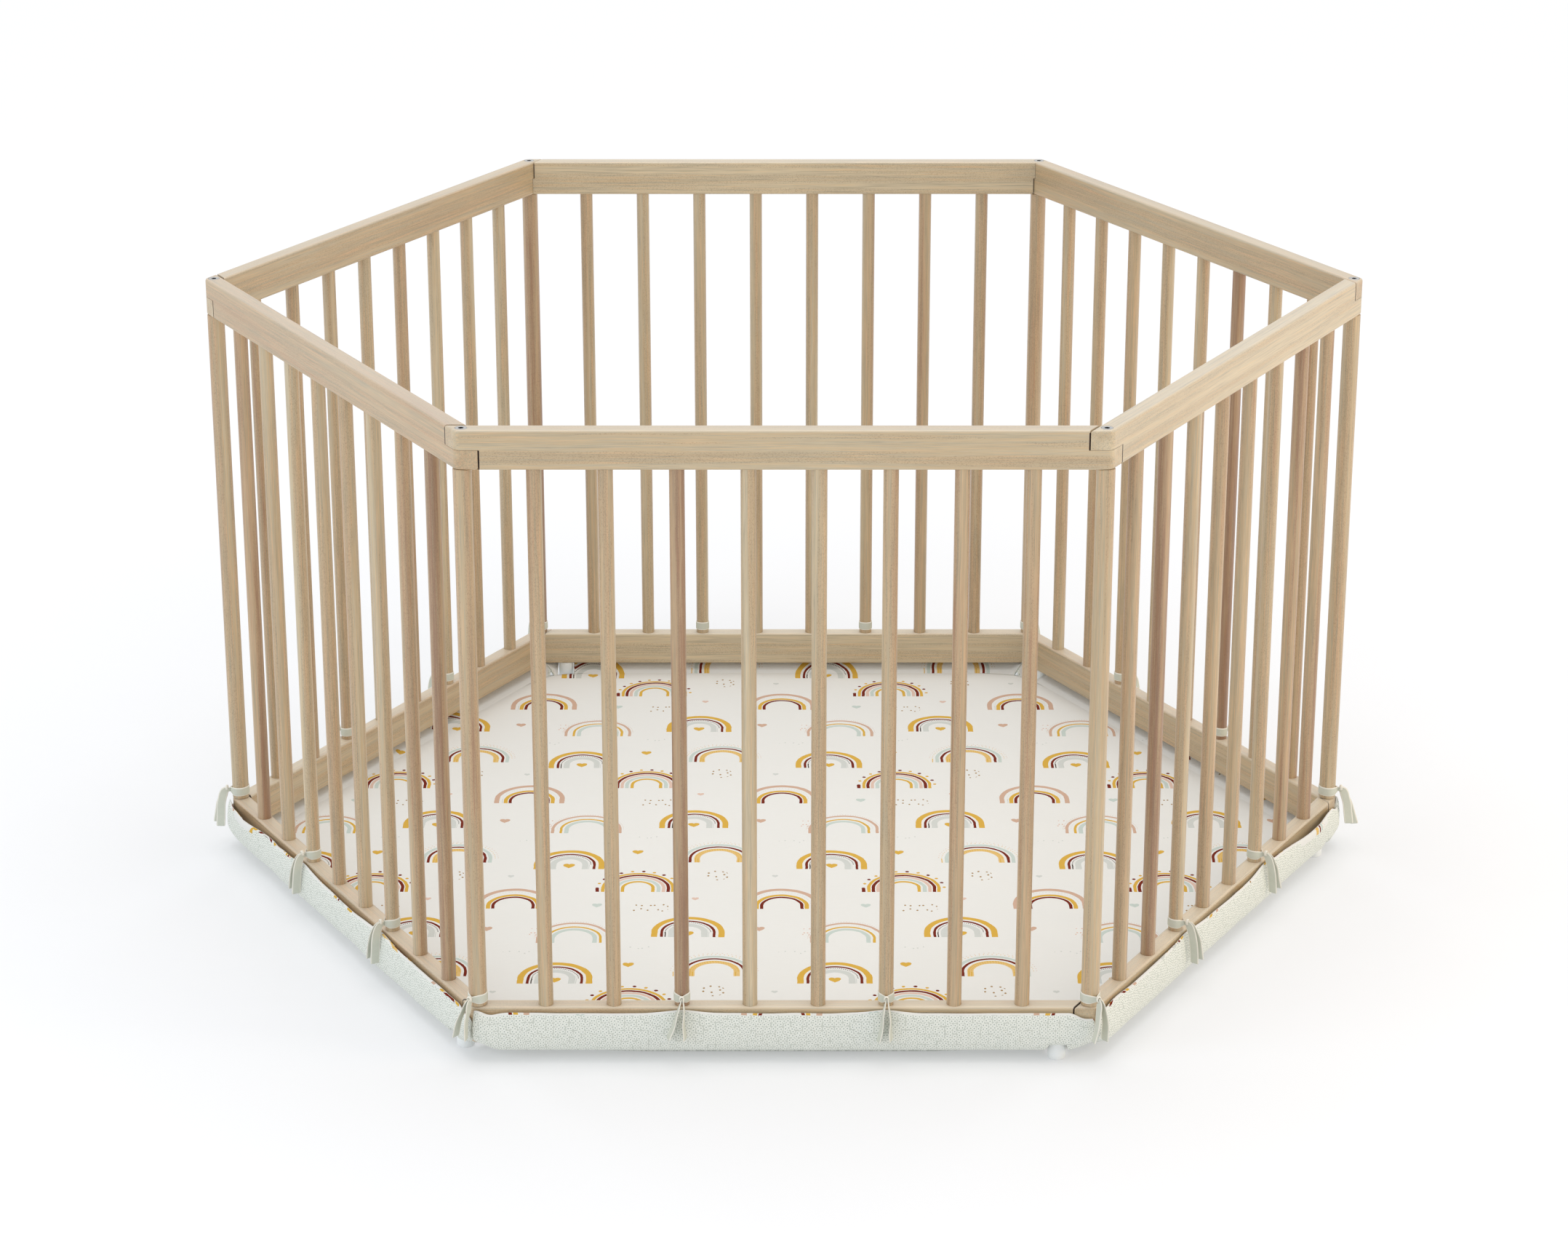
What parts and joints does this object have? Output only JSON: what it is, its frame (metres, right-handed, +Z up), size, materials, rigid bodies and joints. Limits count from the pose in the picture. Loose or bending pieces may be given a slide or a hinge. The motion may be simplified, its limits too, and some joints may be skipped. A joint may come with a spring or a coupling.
{
  "type": "playpen",
  "caption": "Hexagonal wooden playpen: round bars between lapped rails, posts clamped by steel rods, and a tied-in quilted mat with a turned-up border.",
  "frame": {"origin": "on the floor under the middle of the hexagon", "axes": "+X to the right along the front side, +Y towards the back side, +Z up"},
  "size_m": [1.284, 1.1232, 0.671],
  "materials": {
    "beech_rail": "clear matt lacquer on beech, grain along the rail",
    "beech_bar": "clear matt lacquer on beech, grain along the bar",
    "beech_post": "clear matt lacquer on beech, grain along the post",
    "nut_steel": "zinc-plated, satin",
    "rod_steel": "zinc-plated",
    "foot_plastic": "moulded, satin white",
    "mat_print": "printed cotton over wadding, matt",
    "border_fabric": "dotted printed cotton, matt",
    "tie_tape": "folded cotton tape with pale edges, matt"
  },
  "bodies": {
    "root": {"front_top_rail": "beech_rail", "front_bottom_rail": "beech_rail", "front_bars": "beech_bar", "front_foot": "foot_plastic", "front_mat_border": "border_fabric", "front_start_tie": "tie_tape", "front_finish_tie": "tie_tape", "right_front_top_rail": "beech_rail", "right_front_bottom_rail": "beech_rail", "right_front_bars": "beech_bar", "right_front_foot": "foot_plastic", "right_front_mat_border": "border_fabric", "right_front_start_tie": "tie_tape", "right_front_finish_tie": "tie_tape", "right_back_top_rail": "beech_rail", "right_back_bottom_rail": "beech_rail", "right_back_bars": "beech_bar", "right_back_foot": "foot_plastic", "right_back_mat_border": "border_fabric", "right_back_start_tie": "tie_tape", "right_back_finish_tie": "tie_tape", "back_top_rail": "beech_rail", "back_bottom_rail": "beech_rail", "back_bars": "beech_bar", "back_foot": "foot_plastic", "back_mat_border": "border_fabric", "back_start_tie": "tie_tape", "back_finish_tie": "tie_tape", "left_back_top_rail": "beech_rail", "left_back_bottom_rail": "beech_rail", "left_back_bars": "beech_bar", "left_back_foot": "foot_plastic", "left_back_mat_border": "border_fabric", "left_back_start_tie": "tie_tape", "left_back_finish_tie": "tie_tape", "left_front_top_rail": "beech_rail", "left_front_bottom_rail": "beech_rail", "left_front_bars": "beech_bar", "left_front_foot": "foot_plastic", "left_front_mat_border": "border_fabric", "left_front_start_tie": "tie_tape", "left_front_finish_tie": "tie_tape", "front_left_post": "beech_post", "front_left_corner_tie": "tie_tape", "front_right_post": "beech_post", "front_right_corner_tie": "tie_tape", "right_post": "beech_post", "right_corner_tie": "tie_tape", "back_right_post": "beech_post", "back_right_corner_tie": "tie_tape", "back_left_post": "beech_post", "back_left_corner_tie": "tie_tape", "left_post": "beech_post", "left_corner_tie": "tie_tape", "corner_rods": "rod_steel", "top_sleeve_nuts": "nut_steel", "bottom_sleeve_nuts": "nut_steel", "foot_screws": "rod_steel", "mat_base": "mat_print"}
  },
  "joints": []
}
